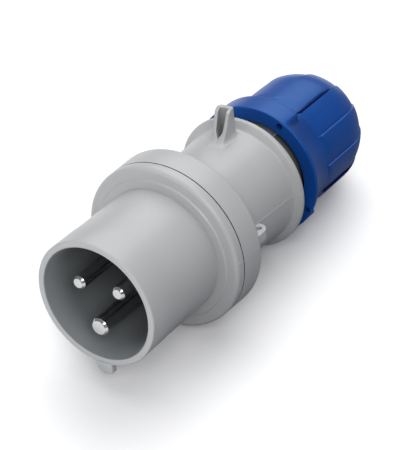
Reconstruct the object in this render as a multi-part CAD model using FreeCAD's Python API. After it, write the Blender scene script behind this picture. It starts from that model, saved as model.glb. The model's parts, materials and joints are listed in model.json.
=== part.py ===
import FreeCAD, Part
import math
import os

# Industrial pin and sleeve plug for two poles and earth, 32 A, as it lies on a table.
# A round shroud with a keyed rim guards three contact pins, a two-shell housing with a
# wide flange holds the pin carrier and the terminals, and a domed nut with twelve
# sawtooth grip panels squeezes a rubber bush on to the cable.
#
# Every piece is drawn along the plug's own axis: "along" is the distance behind the rim
# and "out" is the distance from the axis, both in millimetres. A clock angle runs
# clockwise for someone who faces the pins, with 0 at the housing's hook, and the key
# of the shroud is at 180. The finished pieces are rolled and leaned to the way in which
# the plug comes to rest, with the origin left at the middle of the rim.

Vector = FreeCAD.Vector
centre = Vector(0, 0, 0)
plug_axis = Vector(0, 1, 0)
full_turn = 360.0
# how far a body that cuts or joins reaches past the surface that it meets
overlap = 1.0

# Shroud and front flange
shroud_radius = 28.0
shroud_wall = 2.7
shroud_length = 45.9
shroud_band_length = 14.0
shroud_band_step = 0.2
rim_rounding = 0.6
root_groove = 0.55
face_ring_radius = 31.3
face_ring_height = 0.8
flange_radius = 36.8
front_flange_thickness = 4.6
front_flange_rounding = 1.9
key_half_width = 3.8
key_reach = 32.5
key_length = 3.0
key_curve = 3.4
key_corner = 1.6

# Joint between the two shells
parting_gap = 0.35
spigot_radius = 31.6
spigot_wall = 2.6
spigot_length = 9.5
shell_clearance = 0.4
lug_count = 3
lug_height = 1.3
lug_length = 3.0
lug_sweep = 18.0
lug_clearance = 0.3
lug_way_margin = 2.0
seal_inner_radius = 33.5
seal_width = 1.8
seal_bite = 0.8
seal_clearance = 0.05

# Rear housing
rear_flange_length = 12.4
rear_flange_flare = 0.3
rear_flange_rounding = 1.6
shoulder_radius = 32.0
shoulder_lean = 0.8
shoulder_length = 7.0
body_front_radius = 25.3
body_rear_radius = 27.0
body_length = 30.4
body_wall = 2.4
collar_radius = 30.6
collar_face_slope = 1.9
collar_thickness = 2.0
neck_radius = 21.9
neck_bore_radius = 20.3
neck_length = 26.6
ratchet_height = 0.4
ratchet_teeth = 30
ratchet_pitch = 1.6
ratchet_clock = 6.0
ratchet_start = 4.5
ratchet_length = 8.5
thread_radius = 23.5
thread_start = 13.6
thread_chamfer = 1.0
hook_reach = 39.4
hook_half_width = 3.7
hook_front_half_width = 3.1
hook_wall = 1.7
hook_back_wall = 3.0
hook_back_inset = 6.2
hook_front_lean = 8.7
hook_front_sag = 0.5
hook_corner = 1.4
ear_reach = 31.4
ear_length = 15.8
ear_thickness = 4.6
ear_front_depth = 1.0
ear_proud = 0.6
ear_rounding = 4.5
ear_hole_radius = 1.4
ear_hole_inset = 3.7
ear_hole_height = 2.5

# Pin carrier, back plate and their screws
fit_clearance = 0.1
liner_front = 0.4
liner_wall = 1.2
carrier_floor_step = 2.9
carrier_flange_length = 4.0
back_plate_thickness = 2.5
barrier_length = 12.0
barrier_thickness = 1.6
barrier_reach = 21.5
plate_screw_radius = 1.4
plate_screw_head_radius = 2.7
plate_screw_head_height = 1.9
plate_screw_circle = 23.0
plate_screw_clock = 22.0
plate_screw_bite = 5.5
plate_screw_tip_gap = 1.0
screw_clearance = 0.05
snap_ring_thickness = 1.4
snap_ring_width = 3.2
snap_ring_bite = 0.9
snap_ring_gap = 24.0

# Contact pins and terminals
pin_circle_radius = 11.05
phase_pin_radius = 3.0
earth_pin_radius = 4.0
phase_tip = 2.8
earth_tip = 0.1
tip_chamfer = 0.75
pin_root_step = 0.35
pin_collar_depth = 2.8
pin_collar_step = 2.0
pin_head_step = 1.5
pin_head_length = 17.0
wire_bore_depth = 12.5
wire_bore_wall = 2.0
terminal_screw_radius = 1.5
terminal_head_radius = 2.6
terminal_head_height = 1.9
terminal_screw_pitch = 5.6
terminal_screw_inset = 3.2
clamp_plate_thickness = 0.9
clamp_plate_half_width = 1.9
clamp_plate_drop = 0.35
clamp_plate_end_gap = 0.5
terminal_flat_drop = 0.65
driver_slot_width = 0.8
driver_slot_depth = 0.9

# Cable gland
nut_gap = 10.05
nut_radius = 30.25
nut_bore_radius = 23.8
nut_length = 57.6
nut_front_rounding = 0.6
dome_radius = 26.4
flare_length = 16.5
flare_front = 1.2
flare_sag = 0.36
flare_sag_place = 0.42
dome_start = 36.2
band_length = 11.6
band_rounding = 0.8
band_start_clock = -43.0
band_end_clock = 32.5
band_count = 2
band_ramp = 4.0
band_edge = 1.0
panel_count = 12
panel_rise = 0.75
panel_start = 15.7
panel_inner_radius = 8.0
blind_hole_radius = 1.25
blind_hole_depth = 5.0
blind_hole_circle = 27.9
blind_hole_clock = 30.0
blind_hole_count = 4
shoulder_from_front = 41.05
nut_cone_length = 12.0
nut_seat_radius = 21.6
nut_throat_radius = 16.5
cable_hole_radius = 12.0
cable_hole_length = 3.4
running_gap = 0.3
collet_edge_gap = 0.8
slip_ring_thickness = 1.2
slip_ring_wall = 8.3
collet_ring_length = 5.0
collet_finger_length = 20.5
collet_fingers = 8
collet_finger_wall = 2.4
collet_slot = 2.0
bush_clearance = 0.3
bush_length = 22.5
bush_bore_radius = 10.5
bush_rounding = 2.0
insert_bore_radius = 7.5
insert_rounding = 1.0

# How the plug lies
roll = -11.0

# Places along the axis that several pieces share
parting = shroud_length + front_flange_thickness
spigot_end = parting + spigot_length
rear_start = parting + parting_gap
rear_flange_end = rear_start + rear_flange_length
shoulder_start = rear_flange_end + shoulder_lean
body_start = shoulder_start + shoulder_length
body_end = body_start + body_length
collar_front = body_end + collar_face_slope
collar_end = collar_front + collar_face_slope + collar_thickness
neck_end = collar_end + neck_length
nut_front = collar_end + nut_gap
nut_end = nut_front + nut_length
band_end = nut_front + band_length
nut_shoulder = nut_front + shoulder_from_front
slip_ring_end = nut_shoulder - running_gap
collet_end = slip_ring_end - slip_ring_thickness
collet_front = collet_end - collet_ring_length
shroud_bore = shroud_radius - shroud_wall
spigot_bore = spigot_radius - spigot_wall
carrier_seat = shroud_length
carrier_face = carrier_seat - carrier_floor_step
carrier_back = carrier_seat + carrier_flange_length
plate_back = carrier_back + back_plate_thickness
snap_ring_back = plate_back + snap_ring_thickness
liner_radius = shroud_bore - fit_clearance
carrier_radius = spigot_bore - fit_clearance
collet_ring_radius = nut_seat_radius - collet_edge_gap
collet_finger_radius = neck_bore_radius - running_gap
phase_clock = -60.0
neutral_clock = 60.0
earth_clock = 180.0


def polar(along, out, clock):
    """A point of the plug at a clock angle."""
    turn = math.radians(clock)
    return Vector(out * math.sin(turn), along, out * math.cos(turn))


def turned(shape, clock):
    """A copy of a shape, turned about the plug's axis."""
    copy = shape.copy()
    copy.rotate(centre, plug_axis, clock)
    return copy


def around(shape, count, first=0.0):
    """Copies of a shape at equal steps round the plug's axis."""
    return [turned(shape, first + full_turn * step / count) for step in range(count)]


def join(shapes):
    """One solid made of several that overlap."""
    whole = shapes[0]
    if len(shapes) > 1:
        whole = whole.fuse(shapes[1:])
    return whole.removeSplitter()


def straight(points):
    """Straight edges through a row of points."""
    return [Part.LineSegment(first, last).toShape() for first, last in zip(points, points[1:])]


def full_revolve(edges):
    """A closed line of edges, turned right round the plug's axis."""
    return Part.Face(Part.Wire(edges)).revolve(centre, plug_axis, full_turn)


def outline(corners, place):
    """A closed face with straight sides, where a corner's third value rounds it."""
    spots = [place(corner[0], corner[1]) for corner in corners]
    pieces = []
    for index, corner in enumerate(corners):
        here = spots[index]
        before = spots[index - 1]
        after = spots[(index + 1) % len(spots)]
        if len(corner) < 3:
            pieces.append((here, None, here))
            continue
        back = (before - here).normalize()
        ahead = (after - here).normalize()
        half = back.getAngle(ahead) / 2
        run = corner[2] / math.tan(half)
        inward = (back + ahead).normalize()
        middle = here + inward * (corner[2] / math.sin(half) - corner[2])
        pieces.append((here + back * run, middle, here + ahead * run))
    edges = []
    for index, (first, middle, last) in enumerate(pieces):
        if middle is not None:
            edges.append(Part.Arc(first, middle, last).toShape())
        following = pieces[(index + 1) % len(pieces)][0]
        if last.distanceToPoint(following) > 1e-6:
            edges.append(Part.LineSegment(last, following).toShape())
    return Part.Face(Part.Wire(edges))


def lathe(corners, sweep=full_turn, first=0.0):
    """Turn an outline of (along, out, rounding) corners about the plug's axis."""
    face = outline(corners, lambda along, out: Vector(0, along, out))
    return turned(face.revolve(centre, plug_axis, sweep), first)


def ring(front, back, inner, outer):
    """A plain ring, or a disc where its inner radius is nothing."""
    return lathe([(front, inner), (front, outer), (back, outer), (back, inner)])


def cross_section(corners, front, back):
    """Draw corners of (aside, up) across the axis and extrude them along it."""
    face = outline(corners, lambda aside, up: Vector(aside, front, up))
    return face.extrude(plug_axis * (back - front))


def radial_rod(along, clock, radius, inner, outer):
    """A round rod that points straight away from the axis."""
    start = polar(along, inner, clock)
    return Part.makeCylinder(radius, outer - inner, start, polar(0, 1, clock))


def axial_rod(front, back, radius, out, clock):
    """A round rod beside the axis and parallel to it."""
    return Part.makeCylinder(radius, back - front, polar(front, out, clock), plug_axis)


def seal_groove(front, back):
    """The room for half of the housing seal."""
    inner = seal_inner_radius - seal_clearance
    outer = seal_inner_radius + seal_width + seal_clearance
    return ring(front, back, inner, outer)


def shroud_key():
    """The nose on the rim that lets the plug enter one way only, curved on one side."""
    foot = shroud_radius - shroud_wall / 2
    return cross_section([
        (-key_half_width, -foot),
        (-key_half_width, -key_reach, key_curve),
        (key_half_width, -key_reach, key_corner),
        (key_half_width, -foot),
    ], 0, key_length)


def front_housing():
    """Shroud, sealing ring, front half of the flange and the spigot with its lugs."""
    ring_front = shroud_length - face_ring_height
    shell = lathe([
        (0, shroud_bore, rim_rounding / 2),
        (0, shroud_radius, rim_rounding),
        (shroud_band_length, shroud_radius),
        (shroud_band_length + shroud_band_step, shroud_radius - shroud_band_step),
        (ring_front - root_groove, shroud_radius - shroud_band_step),
        (ring_front, shroud_radius - root_groove),
        (ring_front, face_ring_radius, face_ring_height / 2),
        (shroud_length, face_ring_radius + face_ring_height / 2),
        (shroud_length, flange_radius, front_flange_rounding),
        (parting, flange_radius, parting_gap),
        (parting, spigot_radius),
        (spigot_end, spigot_radius, parting_gap),
        (spigot_end, spigot_bore),
        (snap_ring_back, spigot_bore),
        (snap_ring_back, spigot_bore + snap_ring_bite),
        (plate_back, spigot_bore + snap_ring_bite),
        (plate_back, spigot_bore),
        (carrier_seat, spigot_bore),
        (carrier_seat, shroud_bore),
    ])
    lug_back = spigot_end - shell_clearance
    lug = lathe([
        (lug_back - lug_length, spigot_radius - spigot_wall / 2),
        (lug_back - lug_length, spigot_radius + lug_height),
        (lug_back, spigot_radius + lug_height),
        (lug_back, spigot_radius - spigot_wall / 2),
    ], lug_sweep, -lug_sweep / 2)
    solid = join([shell, shroud_key()] + around(lug, lug_count, full_turn / lug_count / 4))
    return solid.cut(seal_groove(parting - seal_bite, parting))


def housing_seal():
    """The rubber ring between the two shells."""
    outer = seal_inner_radius + seal_width
    return ring(parting - seal_bite, rear_start + seal_bite, seal_inner_radius, outer)


def lid_hook():
    """The hook that a socket's lid drops behind: two fins joined by a wall at the back,
    with an open pocket between them."""
    back = collar_end - hook_back_inset
    inner_back = back - hook_back_wall
    front = inner_back - hook_front_lean
    foot = body_front_radius - body_wall / 2
    inner_corner = hook_corner / 3
    plan = outline([
        (front, -hook_front_half_width),
        (back, -hook_half_width, hook_corner),
        (back, hook_half_width, hook_corner),
        (front, hook_front_half_width),
        (front, hook_front_half_width - hook_wall),
        (inner_back, hook_half_width - hook_wall, inner_corner),
        (inner_back, hook_wall - hook_half_width, inner_corner),
        (front, hook_wall - hook_front_half_width),
    ], lambda along, aside: Vector(aside, along, foot))
    walls = plan.extrude(Vector(0, 0, hook_reach - foot))
    low = Vector(0, front, foot)
    half_way = Vector(0, front + hook_front_lean / 2 + hook_front_sag, (foot + hook_reach) / 2)
    high = Vector(0, inner_back, hook_reach)
    edges = [Part.Arc(low, half_way, high).toShape()]
    edges += straight([high, Vector(0, back, hook_reach), Vector(0, back, foot), low])
    side = Part.Face(Part.Wire(edges))
    side.translate(Vector(-hook_half_width, 0, 0))
    return walls.common(side.extrude(Vector(2 * hook_half_width, 0, 0)))


def side_ear():
    """The small ear with an eye, behind the flange on the mould's parting plane."""
    start = rear_flange_end - rear_flange_rounding
    end = rear_flange_end + ear_length
    foot = body_front_radius - body_wall / 2
    plate = outline([
        (start, ear_reach - ear_front_depth),
        (start, ear_reach),
        (end, ear_reach, ear_rounding),
        (end, foot),
        (body_start, foot),
    ], lambda along, out: Vector(out, along, ear_proud - ear_thickness))
    block = plate.extrude(Vector(0, 0, ear_thickness))
    eye_out = body_front_radius + ear_hole_height
    eye = Vector(eye_out, end - ear_hole_inset, ear_proud - ear_thickness)
    return block.cut(Part.makeCylinder(ear_hole_radius, ear_thickness, eye, Vector(0, 0, 1)))


def ratchet(middle):
    """A patch of fine teeth on the neck, which the nut's mouth runs over."""
    front = collar_end + ratchet_start
    inner = (neck_bore_radius + neck_radius) / 2
    start = middle - ratchet_teeth * ratchet_pitch / 2
    corners = [polar(front, inner, start)]
    for tooth in range(ratchet_teeth):
        clock = start + tooth * ratchet_pitch
        corners.append(polar(front, neck_radius, clock))
        corners.append(polar(front, neck_radius + ratchet_height, clock + ratchet_pitch / 2))
    end = start + ratchet_teeth * ratchet_pitch
    corners.append(polar(front, neck_radius, end))
    corners.append(polar(front, inner, end))
    corners.append(corners[0])
    return Part.Face(Part.makePolygon(corners)).extrude(plug_axis * ratchet_length)


def rear_housing():
    """Rear flange, tapered handle, collar, threaded neck, lid hook and ear."""
    flange_back_radius = flange_radius + rear_flange_flare
    bore = spigot_radius + shell_clearance
    groove_radius = spigot_radius + lug_height + lug_clearance
    seat = spigot_end + shell_clearance
    inner_front = body_start - shoulder_lean * 2
    neck_taper = (body_rear_radius - body_wall) - neck_bore_radius
    thread_front = collar_end + thread_start
    shell = lathe([
        (rear_start, flange_radius, parting_gap),
        (rear_flange_end, flange_back_radius, rear_flange_rounding),
        (shoulder_start, shoulder_radius, 2 * shoulder_lean),
        (body_start, body_front_radius, shoulder_length / 2),
        (body_end, body_rear_radius, collar_face_slope),
        (collar_front, body_rear_radius + collar_face_slope / 4, collar_face_slope / 4),
        (collar_front + collar_face_slope, collar_radius, collar_thickness / 4),
        (collar_end, collar_radius, collar_thickness / 3),
        (collar_end, neck_radius, collar_thickness / 4),
        (thread_front, neck_radius),
        (thread_front, thread_radius),
        (neck_end - thread_chamfer, thread_radius),
        (neck_end, thread_radius - thread_chamfer),
        (neck_end, neck_bore_radius, running_gap),
        (body_end + neck_taper / 2, neck_bore_radius),
        (body_end - neck_taper / 2, body_rear_radius - body_wall),
        (inner_front, body_front_radius - body_wall),
        (seat, shoulder_radius - shoulder_lean * 2),
        (seat, bore),
        (rear_start, bore),
    ])
    patches = [ratchet(ratchet_clock), ratchet(ratchet_clock + full_turn / 2)]
    solid = join([shell, lid_hook(), side_ear()] + patches)
    lug_back = spigot_end - shell_clearance
    inside = bore - overlap
    groove = ring(lug_back - lug_length - lug_clearance, lug_back + lug_clearance, inside, groove_radius)
    way_in = lathe([
        (rear_start, inside),
        (rear_start, groove_radius),
        (lug_back, groove_radius),
        (lug_back, inside),
    ], lug_sweep + 2 * lug_way_margin, -lug_sweep / 2 - lug_way_margin)
    ways_in = around(way_in, lug_count, full_turn / lug_count * 3 / 4)
    cuts = [groove, seal_groove(rear_start, rear_start + seal_bite)]
    return solid.cut(cuts + ways_in)


def pins():
    """Name, clock, shaft radius and tip of each contact pin."""
    return [
        ("phase", phase_clock, phase_pin_radius, phase_tip),
        ("neutral", neutral_clock, phase_pin_radius, phase_tip),
        ("earth", earth_clock, earth_pin_radius, earth_tip),
    ]


def screw_places():
    """Where the two clamping screws of a terminal stand along the axis."""
    last = carrier_back + pin_head_length - terminal_screw_inset
    return [last - terminal_screw_pitch, last]


def pin_carrier():
    """Dark moulding that lines the shroud and holds the three pins."""
    body = lathe([
        (liner_front, liner_radius - liner_wall, liner_wall / 3),
        (liner_front, liner_radius, liner_wall / 6),
        (carrier_seat, liner_radius),
        (carrier_seat, carrier_radius),
        (carrier_back, carrier_radius),
        (carrier_back, 0),
        (carrier_face, 0),
        (carrier_face, liner_radius - liner_wall),
    ])
    cuts = []
    for name, clock, radius, tip in pins():
        seat = carrier_back - pin_collar_depth
        hole = radius + pin_root_step + screw_clearance
        collar = radius + pin_collar_step + fit_clearance
        cuts.append(axial_rod(carrier_face, seat, hole, pin_circle_radius, clock))
        cuts.append(axial_rod(seat, carrier_back, collar, pin_circle_radius, clock))
    for clock in plate_screw_clocks():
        hole = plate_screw_radius + screw_clearance
        cuts.append(axial_rod(carrier_back - plate_screw_bite, carrier_back, hole, plate_screw_circle, clock))
    return body.cut(cuts)


def plate_screw_clocks():
    """Clock angles of the screws that hold the back plate."""
    return [plate_screw_clock + full_turn * step / 3 for step in range(3)]


def carrier_back_plate():
    """Plate that traps the pins' collars, with a three-armed barrier between terminals."""
    plate = ring(carrier_back, plate_back, 0, carrier_radius)
    half = barrier_thickness / 2
    arm = Part.makeBox(
        barrier_thickness, barrier_length + half, barrier_reach,
        Vector(-half, plate_back - half, 0),
    )
    cuts = []
    for name, clock, radius, tip in pins():
        head = radius + pin_head_step + fit_clearance
        cuts.append(axial_rod(carrier_back, plate_back, head, pin_circle_radius, clock))
    for clock in plate_screw_clocks():
        hole = plate_screw_radius + screw_clearance
        cuts.append(axial_rod(carrier_back, plate_back, hole, plate_screw_circle, clock))
    return join([plate] + around(arm, 3)).cut(cuts)


def snap_ring():
    """Open ring in the spigot's groove that keeps the carrier in the front housing."""
    outer = spigot_bore + snap_ring_bite
    return lathe([
        (plate_back, outer - snap_ring_width),
        (plate_back, outer),
        (snap_ring_back, outer),
        (snap_ring_back, outer - snap_ring_width),
    ], full_turn - snap_ring_gap, full_turn / 2 + snap_ring_gap / 2)


def plate_screw(clock):
    """One slotted screw of the back plate."""
    tip = carrier_back - plate_screw_bite + plate_screw_tip_gap
    shank = axial_rod(tip, plate_back, plate_screw_radius, plate_screw_circle, clock)
    head_back = plate_back + plate_screw_head_height
    head = axial_rod(plate_back, head_back, plate_screw_head_radius, plate_screw_circle, clock)
    slot_foot = plate_screw_circle - plate_screw_head_radius
    slot = Part.makeBox(
        driver_slot_width, driver_slot_depth, 2 * plate_screw_head_radius,
        Vector(-driver_slot_width / 2, head_back - driver_slot_depth, slot_foot),
    )
    return join([shank, head]).cut(turned(slot, clock))


def contact_pin(clock, radius, tip):
    """Turned pin with a trapped collar and a bored, cross-drilled terminal head."""
    seat = carrier_back - pin_collar_depth
    head_end = carrier_back + pin_head_length
    head_radius = radius + pin_head_step
    collar_radius_here = radius + pin_collar_step
    bore_radius = head_radius - wire_bore_wall
    turned_pin = lathe([
        (tip, 0),
        (tip, radius - tip_chamfer),
        (tip + tip_chamfer, radius),
        (carrier_face, radius),
        (carrier_face, radius + pin_root_step),
        (seat, radius + pin_root_step),
        (seat, collar_radius_here),
        (carrier_back, collar_radius_here),
        (carrier_back, head_radius),
        (head_end, head_radius, driver_slot_width / 2),
        (head_end, bore_radius),
        (head_end - wire_bore_depth, bore_radius),
        (head_end - wire_bore_depth, 0),
    ])
    drill = terminal_screw_radius + screw_clearance
    flat_half = terminal_head_radius + overlap / 2
    for place in screw_places():
        hole = radial_rod(place, 0, drill, 0, head_radius + overlap)
        flat = Part.makeBox(
            2 * flat_half, 2 * flat_half, terminal_head_radius,
            Vector(-flat_half, place - flat_half, flat_height(radius)),
        )
        turned_pin = turned_pin.cut([hole, flat])
    turned_pin.translate(Vector(0, 0, pin_circle_radius))
    return turned(turned_pin, clock)


def flat_height(radius):
    """Height of the flat under the screw heads above the pin's own axis."""
    return radius + pin_head_step - terminal_flat_drop


def clamp_plate(clock, radius):
    """The small plate that spreads the screws' pressure on the wire."""
    head_end = carrier_back + pin_head_length
    bore_radius = radius + pin_head_step - wire_bore_wall
    top = bore_radius - screw_clearance
    length = wire_bore_depth - 2 * clamp_plate_end_gap
    start = head_end - wire_bore_depth + clamp_plate_end_gap
    rod = Part.makeCylinder(top, length, Vector(0, start, 0), plug_axis)
    slab = Part.makeBox(
        2 * clamp_plate_half_width, length, clamp_plate_thickness,
        Vector(-clamp_plate_half_width, start, bore_radius - clamp_plate_drop - clamp_plate_thickness),
    )
    plate = rod.common(slab)
    plate.translate(Vector(0, 0, pin_circle_radius))
    return turned(plate, clock)


def terminal_screw(clock, radius, place):
    """One slotted screw of a terminal."""
    bore_radius = radius + pin_head_step - wire_bore_wall
    foot = pin_circle_radius + bore_radius - clamp_plate_drop
    seat = pin_circle_radius + flat_height(radius)
    top = seat + terminal_head_height
    shank = radial_rod(place, 0, terminal_screw_radius, foot, seat)
    head = radial_rod(place, 0, terminal_head_radius, seat, top)
    slot = Part.makeBox(
        2 * terminal_head_radius, driver_slot_width, driver_slot_depth,
        Vector(-terminal_head_radius, place - driver_slot_width / 2, top - driver_slot_depth),
    )
    return turned(join([shank, head]).cut(slot), clock)


def terminal_screws():
    """The screws of all three terminals, as a group of separate solids."""
    screws = []
    for name, clock, radius, tip in pins():
        for place in screw_places():
            screws.append(terminal_screw(clock, radius, place))
    return Part.makeCompound(screws)


def domed_body(radius, front):
    """A round body from a place in front of the grip to the flat end of the dome."""
    dome_centre = nut_front + dome_start
    depth = nut_end - dome_centre
    rise_start = Vector(0, dome_centre, radius)
    middle = Vector(0, dome_centre + depth / 2, math.sqrt(radius ** 2 - (depth / 2) ** 2))
    rise_end = Vector(0, nut_end, math.sqrt(radius ** 2 - depth ** 2))
    edges = [Part.Arc(rise_start, middle, rise_end).toShape()]
    edges += straight([
        rise_end,
        Vector(0, nut_end, 0),
        Vector(0, front, 0),
        Vector(0, front, radius),
        rise_start,
    ])
    return full_revolve(edges)


def grip_panel():
    """One sawtooth panel: a sector of a domed body whose axis is shifted sideways, so
    that it stands proud along its first edge and falls to nothing at its last one."""
    step = full_turn / panel_count
    front = nut_front + panel_start
    shift = panel_rise / 2 / math.sin(math.radians(step / 2))
    body = domed_body(dome_radius + panel_rise / 2, front)
    body.translate(polar(0, shift, step / 2 - 90))
    sector = lathe([
        (front, panel_inner_radius),
        (front, nut_radius),
        (nut_end, nut_radius),
        (nut_end, panel_inner_radius),
    ], step)
    return body.common(sector)


def nut_skirt():
    """The flared front of the nut, with a core that runs on inside the panels."""
    flare_begin = nut_front + flare_front
    flare_end = nut_front + flare_length
    core_end = nut_front + dome_start
    core_radius = dome_radius - panel_rise
    bend_place = flare_begin + flare_sag_place * (flare_end - flare_begin)
    bend_radius = dome_radius + flare_sag * (nut_radius - dome_radius)
    corner = nut_front_rounding * (1 - math.sqrt(0.5))
    face_edge = Vector(0, nut_front, nut_radius - nut_front_rounding)
    corner_middle = Vector(0, nut_front + corner, nut_radius - corner)
    rim = Vector(0, nut_front + nut_front_rounding, nut_radius)
    flare_top = Vector(0, flare_begin, nut_radius)
    flare_foot = Vector(0, flare_end, dome_radius)
    edges = [
        Part.Arc(face_edge, corner_middle, rim).toShape(),
        Part.LineSegment(rim, flare_top).toShape(),
        Part.Arc(flare_top, Vector(0, bend_place, bend_radius), flare_foot).toShape(),
    ]
    edges += straight([
        flare_foot,
        Vector(0, flare_end, core_radius),
        Vector(0, core_end, core_radius),
        Vector(0, core_end, 0),
        Vector(0, nut_front, 0),
        face_edge,
    ])
    return full_revolve(edges)


def grip_band(first, last):
    """A raised band of the skirt between two clock angles, with sloping ends."""
    inner = nut_bore_radius + running_gap
    band = lathe([
        (nut_front, inner),
        (nut_front, nut_radius, nut_front_rounding),
        (band_end, nut_radius, band_rounding),
        (band_end + band_rounding, inner),
    ])
    top = nut_radius + overlap
    reach = 2 * nut_radius
    wedge = Part.Face(Part.makePolygon([
        centre,
        polar(0, inner, first - band_ramp),
        polar(0, top, first + band_edge),
        polar(0, reach, first + band_edge),
        polar(0, reach, (first + last) / 2),
        polar(0, reach, last - band_edge),
        polar(0, top, last - band_edge),
        polar(0, inner, last + band_ramp),
        centre,
    ])).extrude(plug_axis * nut_end)
    return band.common(wedge)


def gland_nut():
    """Domed clamping nut with twelve sawtooth panels and two raised bands."""
    solids = [nut_skirt()] + around(grip_panel(), panel_count)
    for step in range(band_count):
        turn = full_turn * step / band_count
        solids.append(grip_band(band_start_clock + turn, band_end_clock + turn))
    throat_end = nut_end - cable_hole_length
    hollow = lathe([
        (nut_front, 0),
        (nut_front, nut_bore_radius),
        (nut_shoulder - nut_cone_length, nut_bore_radius),
        (nut_shoulder, nut_seat_radius),
        (nut_shoulder, nut_throat_radius),
        (throat_end, cable_hole_radius),
        (nut_end, cable_hole_radius),
        (nut_end, 0),
    ])
    blind_holes = []
    for step in range(blind_hole_count):
        clock = blind_hole_clock + full_turn * step / blind_hole_count
        depth = nut_front + blind_hole_depth
        blind_holes.append(axial_rod(nut_front, depth, blind_hole_radius, blind_hole_circle, clock))
    return join(solids).cut([hollow] + blind_holes)


def slip_ring():
    """Washer that lets the nut turn without winding up the collet."""
    return ring(collet_end, slip_ring_end, collet_ring_radius - slip_ring_wall, collet_ring_radius)


def clamp_collet():
    """Ring with eight springy fingers that reach into the neck."""
    inner = collet_finger_radius - collet_finger_wall
    start = collet_front - collet_finger_length
    whole = join([
        ring(collet_front, collet_end, inner, collet_ring_radius),
        ring(start, collet_front + overlap, inner, collet_finger_radius),
    ])
    slot = Part.makeBox(
        collet_slot, collet_finger_length - overlap, collet_ring_radius,
        Vector(-collet_slot / 2, start, 0),
    )
    return whole.cut(around(slot, collet_fingers))


def gland_bush():
    """Outer rubber bush, for a thick cable once its insert is pulled out."""
    outer = collet_finger_radius - collet_finger_wall - bush_clearance
    front = collet_end - bush_length
    return lathe([
        (front, bush_bore_radius),
        (front, outer, bush_rounding),
        (collet_end, outer),
        (collet_end, bush_bore_radius),
    ])


def bush_insert():
    """Inner rubber sleeve that narrows the bush for a thin cable."""
    front = collet_end - bush_length
    outer = bush_bore_radius - screw_clearance
    return lathe([
        (front, insert_bore_radius, insert_rounding),
        (front, outer),
        (collet_end, outer),
        (collet_end, insert_bore_radius, insert_rounding),
    ])


def lean_angle():
    """How far the plug leans back until its flange and its nut both touch the table."""
    flange_out = flange_radius + rear_flange_flare - rear_flange_rounding
    flange = (rear_flange_end - rear_flange_rounding, flange_out)
    band = (band_end - band_rounding, nut_radius - band_rounding)
    span = math.hypot(band[0] - flange[0], flange[1] - band[1])
    slope = math.atan2(flange[1] - band[1], band[0] - flange[0])
    return math.degrees(slope + math.asin((rear_flange_rounding - band_rounding) / span))


def lay_down(shape):
    """Roll and lean a finished piece to the way in which the plug lies."""
    resting = turned(shape, roll)
    resting.rotate(centre, Vector(1, 0, 0), -lean_angle())
    return resting


def build():
    """Every piece of the plug by the name of its file."""
    pieces = {
        "front_housing": front_housing(),
        "housing_seal": housing_seal(),
        "rear_housing": rear_housing(),
        "pin_carrier": pin_carrier(),
        "carrier_back_plate": carrier_back_plate(),
        "snap_ring": snap_ring(),
        "terminal_screws": terminal_screws(),
        "back_plate_screws": Part.makeCompound([plate_screw(clock) for clock in plate_screw_clocks()]),
        "gland_nut": gland_nut(),
        "slip_ring": slip_ring(),
        "clamp_collet": clamp_collet(),
        "gland_bush": gland_bush(),
        "bush_insert": bush_insert(),
    }
    for name, clock, radius, tip in pins():
        pieces[name + "_pin"] = contact_pin(clock, radius, tip)
        pieces[name + "_clamp_plate"] = clamp_plate(clock, radius)
    return pieces


os.makedirs("parts", exist_ok=True)
for name, shape in build().items():
    lay_down(shape).exportStep("parts/" + name + ".step")
print("lean", round(lean_angle(), 3), "nut front", nut_front, "end", nut_end)
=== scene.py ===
import json
from math import asin, atan2, copysign, cos, degrees, hypot, pi, radians, sin, sqrt, tan, tau
import bmesh
import bpy
from mathutils import Matrix, Vector


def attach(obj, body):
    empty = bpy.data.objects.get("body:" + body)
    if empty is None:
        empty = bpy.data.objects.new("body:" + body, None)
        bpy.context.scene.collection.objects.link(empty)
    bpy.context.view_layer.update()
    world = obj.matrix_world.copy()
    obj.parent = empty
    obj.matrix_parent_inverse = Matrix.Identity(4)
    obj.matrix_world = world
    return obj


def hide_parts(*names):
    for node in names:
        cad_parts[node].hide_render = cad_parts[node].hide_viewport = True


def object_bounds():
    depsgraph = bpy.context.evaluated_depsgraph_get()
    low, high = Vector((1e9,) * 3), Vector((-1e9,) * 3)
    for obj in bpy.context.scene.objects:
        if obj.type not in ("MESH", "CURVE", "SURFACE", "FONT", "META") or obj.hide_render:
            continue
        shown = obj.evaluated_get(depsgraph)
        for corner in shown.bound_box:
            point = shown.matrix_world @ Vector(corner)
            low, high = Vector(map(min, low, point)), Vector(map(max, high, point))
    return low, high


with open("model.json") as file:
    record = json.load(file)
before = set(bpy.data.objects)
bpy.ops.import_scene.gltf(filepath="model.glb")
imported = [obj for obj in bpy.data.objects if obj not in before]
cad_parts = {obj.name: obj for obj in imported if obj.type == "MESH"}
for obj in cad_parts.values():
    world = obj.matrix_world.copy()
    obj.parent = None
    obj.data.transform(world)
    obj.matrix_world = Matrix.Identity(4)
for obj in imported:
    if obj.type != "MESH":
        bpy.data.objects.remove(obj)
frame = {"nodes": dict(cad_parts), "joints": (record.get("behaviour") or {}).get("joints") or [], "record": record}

cadLow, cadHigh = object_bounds()
scene = bpy.context.scene
scene.view_settings.view_transform = "Standard"

# Pieces are drawn in millimetres on the plug's own axis: "along" behind the rim, "out" from
# the axis, and a clock angle in degrees that is 0 at the lid hook. Then they are laid down
# as the CAD lies, with the lean read from the gland's own joint.
plugAxis = Vector(frame["joints"][0]["axis"]).normalized()
lean = atan2(-plugAxis.z, plugAxis.y)
roll = radians(-11.0)
layDown = Matrix.Scale(0.001, 4) @ Matrix.Rotation(-lean, 4, "X") @ Matrix.Rotation(roll, 4, "Y")

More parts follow.
